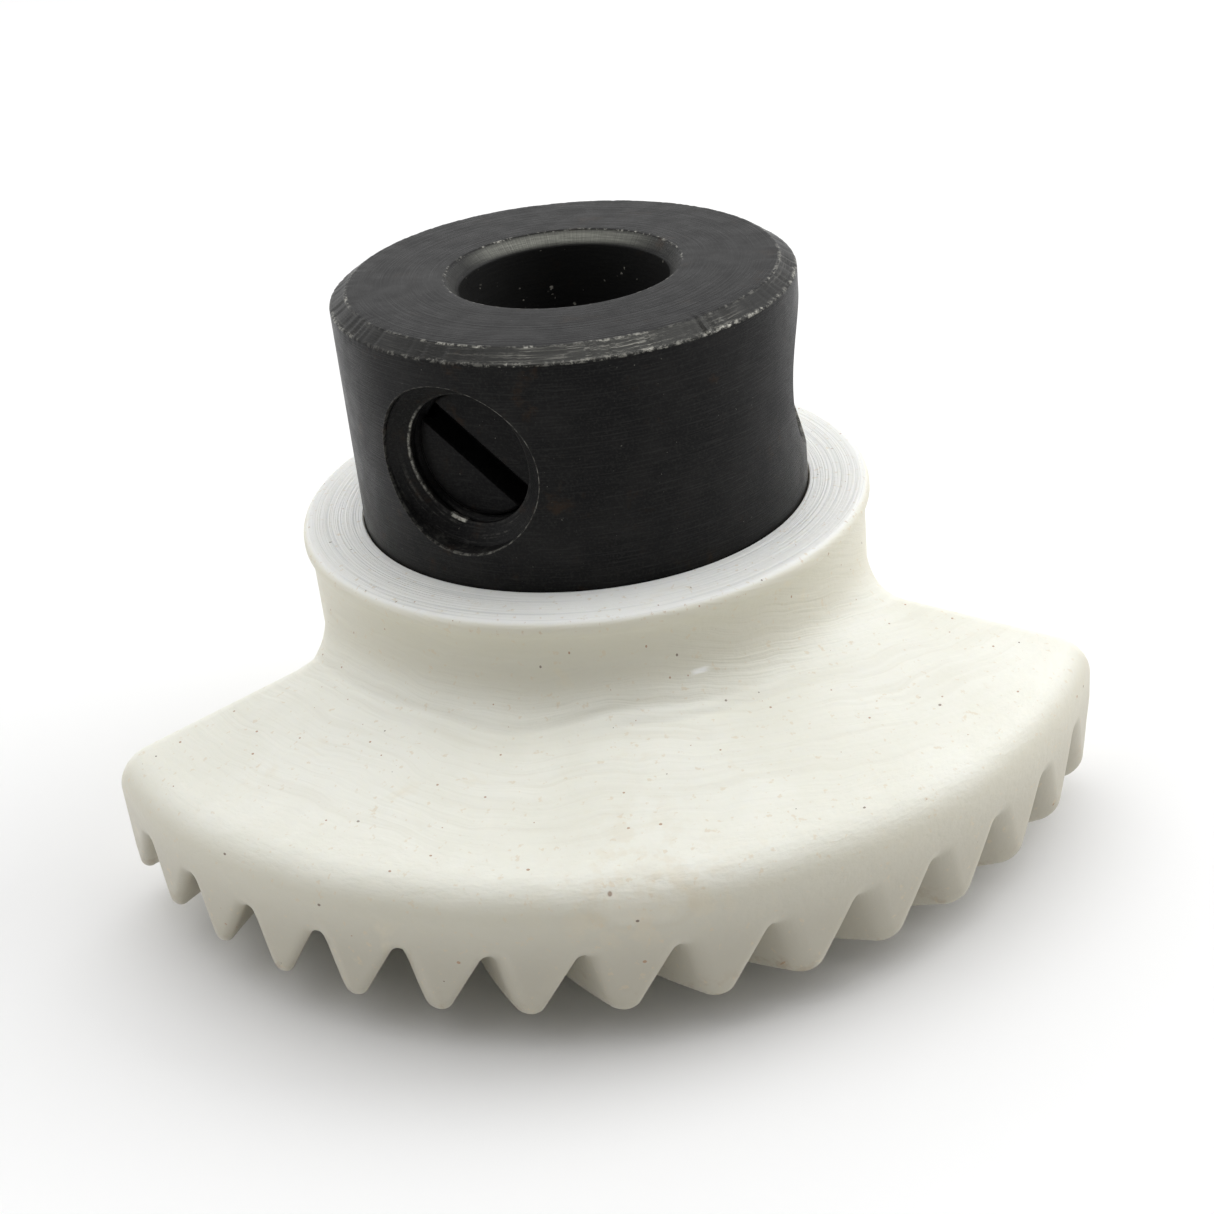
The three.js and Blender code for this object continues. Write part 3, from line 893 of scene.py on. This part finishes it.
def steel_base(n, bearing, radius, height):
    """Black oxide: nearly black, cloudy, with brownish spots, fine brushed lines and dust."""
    tint = n.mix(n.ramp(n.noise(0.6, 5.0, 0.6), 0.35, 0.7), OXIDE_DARK, OXIDE_CLOUD)
    tint = n.mix(n.ramp(n.noise(0.8, 5.0, 0.7), 0.58, 0.72, 0.0, 0.8), tint, OXIDE_BROWN)
    brushed = n.drawn(4.0, 0.65, (bearing, 5.0), (height, 20.0), (radius, 20.0), distortion=0.3)
    tint = n.mix(n.ramp(brushed, 0.48, 0.72, 0.0, 0.6), tint, OXIDE_BRUSHED)
    tint = n.mix(n.ramp(n.noise(14.0, 2.0, 0.6), 0.48, 0.66, 0.0, 0.5), tint, OXIDE_GREY)
    dust = n.ramp(n.noise(9.0, 2.0, 0.6), 0.73, 0.78, 0.0, 0.8)
    return n.mix(dust, tint, STEEL_DUST), brushed


def hole_highlights_and_wear(n, spec, height, radius):
    """Bright metal and painted highlights in a screw's hole: its mouth, drilled shoulder and
    thread.
    """
    b = math.radians(spec["bearing"])
    along = n.vector("DOT_PRODUCT", n.place, (math.sin(b), -math.cos(b), 0))
    across = n.vector("DOT_PRODUCT", n.place, (math.cos(b), math.sin(b), 0))
    up = n.minus(height, SCREW_HEIGHT)
    reach = n.vector("LENGTH", n.join(across, up, 0.0))

    # A painted highlight on the mouth's edge, stronger towards one side.
    mouth = n.times(n.band(reach, COUNTERDRILL_RADIUS + 0.015, 0.035),
                    n.ramp(radius, HUB_RADIUS - 0.14, HUB_RADIUS - 0.06),
                    n.ramp(across, -1.2, 0.8, 0.2, 0.5))
    # A painted highlight along the thread's edge, on one side of the hole.
    thread = n.times(n.band(reach, TAPPED_RADIUS + 0.03, 0.05), n.band(along, CONE_START, 0.08),
                     n.ramp(across, -0.6 * TAPPED_RADIUS, -0.95 * TAPPED_RADIUS, 0.06, 0.7))
    # A painted glint: a small, strong highlight on the thread's edge.
    glint_distance = n.vector("DISTANCE", n.join(across, up, along),
                    (GLINT["across"], GLINT["up"], CONE_START))
    glint = n.times(n.band(reach, TAPPED_RADIUS + 0.03, 0.07),
                    n.ramp(glint_distance, GLINT["size"], GLINT["size"] * 0.4, 0.0, 4.0))
    # Drilled arcs on the lower part of the shoulder, lightened as painted sheen.
    shoulder = n.times(n.ramp(radius, HUB_RADIUS - 0.08, HUB_RADIUS - 0.25),
                       n.ramp(height, SCREW_HEIGHT + 0.3, SCREW_HEIGHT - 1.0),
                       n.ramp(reach, TAPPED_RADIUS, TAPPED_RADIUS + 0.1))
    arcs = n.drawn(3.0, 0.6, (reach, 13.0), (across, 0.7), 3.0)
    drilled = n.times(shoulder, n.ramp(arcs, 0.5, 0.68, 0.0, 0.13))
    return n.times(n.most(mouth, drilled, thread, glint), n.ramp(along, 4.0, 4.5))


def hub_steel_material():
    """Hub steel: worn bright along its chamfers, turned and chattered in the bore's chamfer, which
    carries a painted reflection towards the back; the screw holes carry painted highlights.
    """
    n = Nodes("black_steel")
    radius, bearing, height = n.round_axis()
    tint, brushed = steel_base(n, bearing, radius, height)
    near_top = n.ramp(height, HUB_HEIGHT - 0.55, HUB_HEIGHT - 0.45)
    brow = n.times(n.band(radius, HUB_RADIUS - HUB_TOP_CHAMFER["radial"], 0.07), near_top)
    shoulder = n.times(n.band(height, HUB_HEIGHT - HUB_TOP_CHAMFER["axial"], 0.07),
                       n.ramp(radius, HUB_RADIUS - 0.3, HUB_RADIUS - 0.15), 0.8)
    chamfer = n.times(n.ramp(radius, HUB_RADIUS - 0.56, HUB_RADIUS - 0.48),
                      n.ramp(height, HUB_HEIGHT - 0.4, HUB_HEIGHT - 0.32))
    mouth = n.times(n.band(radius, BORE_RADIUS + BORE_CHAMFER, 0.06), near_top)
    throat = n.times(n.band(radius, BORE_RADIUS + BORE_CHAMFER / 2, 0.22),
                     n.ramp(height, HUB_HEIGHT - 0.5, HUB_HEIGHT - 0.35))
    face = n.ramp(height, HUB_HEIGHT - 0.04, HUB_HEIGHT - 0.01)
    inside = n.ramp(radius, BORE_RADIUS + 0.04, BORE_RADIUS + 0.01)

    streaks = n.drawn(4.0, 0.7, (bearing, 4.0), (radius, 20.0), (height, 20.0))
    chatter = n.drawn(2.0, 0.5, (bearing, 60.0), 0.0, 0.0)
    turned = n.drawn(2.0, 0.6, (radius, 11.0), (bearing, 0.5), 0.0)
    spots = n.noise(5.5, 4.0, 0.75)
    patches = n.ramp(n.noise(0.42, 3.0, 0.6), 0.42, 0.6, 0.15, 1.0)
    off_satin = n.math("ABSOLUTE", n.minus(bearing, SATIN_BEARING))
    satin = n.times(chamfer, n.ramp(off_satin, 0.75, 0.15, 0.25, 1.0))

    edge_wear = n.times(n.most(brow, shoulder), n.ramp(spots, 0.47, 0.61))
    streak_wear = n.times(satin, n.ramp(streaks, 0.5, 0.66, 0.0, 0.6))
    mouth_wear = n.times(mouth, n.ramp(spots, 0.52, 0.64, 0.0, 0.8))
    both_holes = n.most(*[hole_highlights_and_wear(n, spec, height, radius) for spec in SCREWS])
    # Worn edges and streaks, together with the painted highlights from the screw holes.
    wear_and_highlights = n.most(n.times(n.most(edge_wear, streak_wear), patches), mouth_wear,
                  n.times(both_holes, n.ramp(spots, 0.42, 0.6, 0.1, 0.9)))
    # Turned and chattered cut in the bore's chamfer, brightened towards the back (+Y) as a painted
    # reflection.
    cut = n.times(throat, n.ramp(chatter, 0.35, 0.65, 0.75, 1.0),
                  n.ramp(streaks, 0.35, 0.6, 0.65, 1.0),
                  n.ramp(n.split(n.place)[1], 1.5, 3.3, 0.06, 0.9))
    grit = n.times(inside, n.ramp(n.noise(4.0, 2.0, 0.5), 0.7, 0.76))

    tint = n.mix(satin, tint, STEEL_SATIN)
    tint = n.mix(cut, tint, BORE_CUT_AND_REFLECTION)
    tint = n.mix(n.times(inside, 0.6), tint, BORE_WALL)
    tint = n.mix(grit, tint, BORE_GRIT)
    tint = n.mix(wear_and_highlights, tint, STEEL_WORN_AND_HIGHLIGHTS)
    tint = n.mix(n.times(face, n.ramp(turned, 0.45, 0.7, 0.0, 0.35)), tint, OXIDE_TURNED)
    tint = n.mix(n.times(face, 0.35), tint, OXIDE_FACE)
    relief = n.plus(n.times(brushed, 0.8), n.times(turned, face, 0.9),
                    n.times(chatter, throat, 1.5), n.times(streaks, satin, 2.0))
    return n.set(Base_Color=tint, Roughness=n.ramp(n.noise(1.4, 4.0, 0.6), 0.3, 0.7, 0.31, 0.4),
                 IOR=n.ramp(face, 0.0, 1.0, 1.19, 1.165), Metallic=n.times(wear_and_highlights, 0.8),
                 Normal=n.bump(relief, 0.02, 0.9))


def screw_steel_material():
    """Set screws: the hub's black oxide, unworn and a little glossier."""
    n = Nodes("screw_steel")
    radius, bearing, height = n.round_axis()
    tint, brushed = steel_base(n, bearing, radius, height)
    return n.set(Base_Color=tint, Roughness=0.3, IOR=1.14, Normal=n.bump(brushed, 0.01, 0.6))


def floor_material():
    n = Nodes("studio_floor")
    return n.set(Base_Color=FLOOR_WHITE, Roughness=0.8)


# ---------------------------------------------------------------- the scene

def dress(thing, body, node, material):
    thing.data.materials.clear()
    thing.data.materials.append(material)
    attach(thing, body)
    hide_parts(node)


def build_object():
    screw_steel = screw_steel_material()
    dress(gear_sector(), "gear", "gear_segment", nylon_material())
    dress(hub(), "gear", "steel_hub", hub_steel_material())
    for spec in SCREWS:
        dress(screw(spec), spec["body"], spec["name"], screw_steel)


def build_floor():
    corners = [(-1, -1, 0), (1, -1, 0), (1, 1, 0), (-1, 1, 0)]
    floor = mesh_object("floor", np.array(corners) * FLOOR_REACH, [(0, 1, 2, 3)])
    floor.data.materials.append(floor_material())


def sky_gradient(tree, spec):
    """Brightness that changes along a direction, as the cosine to it goes between two values."""
    place = tree.nodes.new("ShaderNodeTexCoord").outputs["Generated"]
    along = tree.nodes.new("ShaderNodeVectorMath")
    along.operation = "DOT_PRODUCT"
    along.inputs[1].default_value = Vector(spec["direction"]).normalized()
    tree.links.new(place, along.inputs[0])
    ramp = tree.nodes.new("ShaderNodeMapRange")
    ramp.interpolation_type = "SMOOTHSTEP"
    for key, value in zip(("From Min", "From Max"), spec["between"]):
        ramp.inputs[key].default_value = value
    for key, value in zip(("To Min", "To Max"), spec["brightness"]):
        ramp.inputs[key].default_value = value
    tree.links.new(along.outputs["Value"], ramp.inputs["Value"])
    return ramp.outputs[0]


def build_sky():
    world = bpy.data.worlds.new("studio")
    world.use_nodes = True
    tree = world.node_tree
    both = tree.nodes.new("ShaderNodeMath")
    both.operation = "MULTIPLY"
    tree.links.new(sky_gradient(tree, SKY_OVERHEAD), both.inputs[0])
    tree.links.new(sky_gradient(tree, SKY_IN_FRONT), both.inputs[1])
    tree.links.new(both.outputs[0], tree.nodes["Background"].inputs["Color"])
    bpy.context.scene.world = world


def build_lamp():
    lamp = bpy.data.lights.new("softbox", "AREA")
    lamp.shape = "DISK"
    lamp.size = LAMP_SIZE * MM
    lamp.energy = LAMP_POWER
    holder = bpy.data.objects.new("softbox", lamp)
    bpy.context.scene.collection.objects.link(holder)
    holder.location = Vector(LAMP_PLACE) * MM
    aim = Vector(LAMP_TARGET) * MM - holder.location
    holder.rotation_euler = aim.to_track_quat("-Z", "Y").to_euler()


def build_camera():
    camera = bpy.data.objects.new("camera", bpy.data.cameras.new("camera"))
    bpy.context.scene.collection.objects.link(camera)
    camera.data.sensor_width = CAMERA_SENSOR
    camera.data.lens = CAMERA_LENS
    camera.data.shift_x, camera.data.shift_y = CAMERA_SHIFT
    camera.data.clip_start = CAMERA_NEAR * MM
    camera.data.clip_end = CAMERA_FAR * MM
    turn = Matrix.Rotation(-CAMERA_BEARING, 4, "Z")
    tilt = Matrix.Rotation(math.pi / 2 - CAMERA_ELEVATION, 4, "X")
    roll = Matrix.Rotation(CAMERA_ROLL, 4, "Z")
    camera.matrix_world = Matrix.Translation(Vector(CAMERA_PLACE) * MM) @ turn @ tilt @ roll
    bpy.context.scene.camera = camera


build_object()
build_floor()
build_sky()
build_lamp()
build_camera()
bpy.context.scene.view_settings.view_transform = "Standard"
bpy.context.view_layer.update()
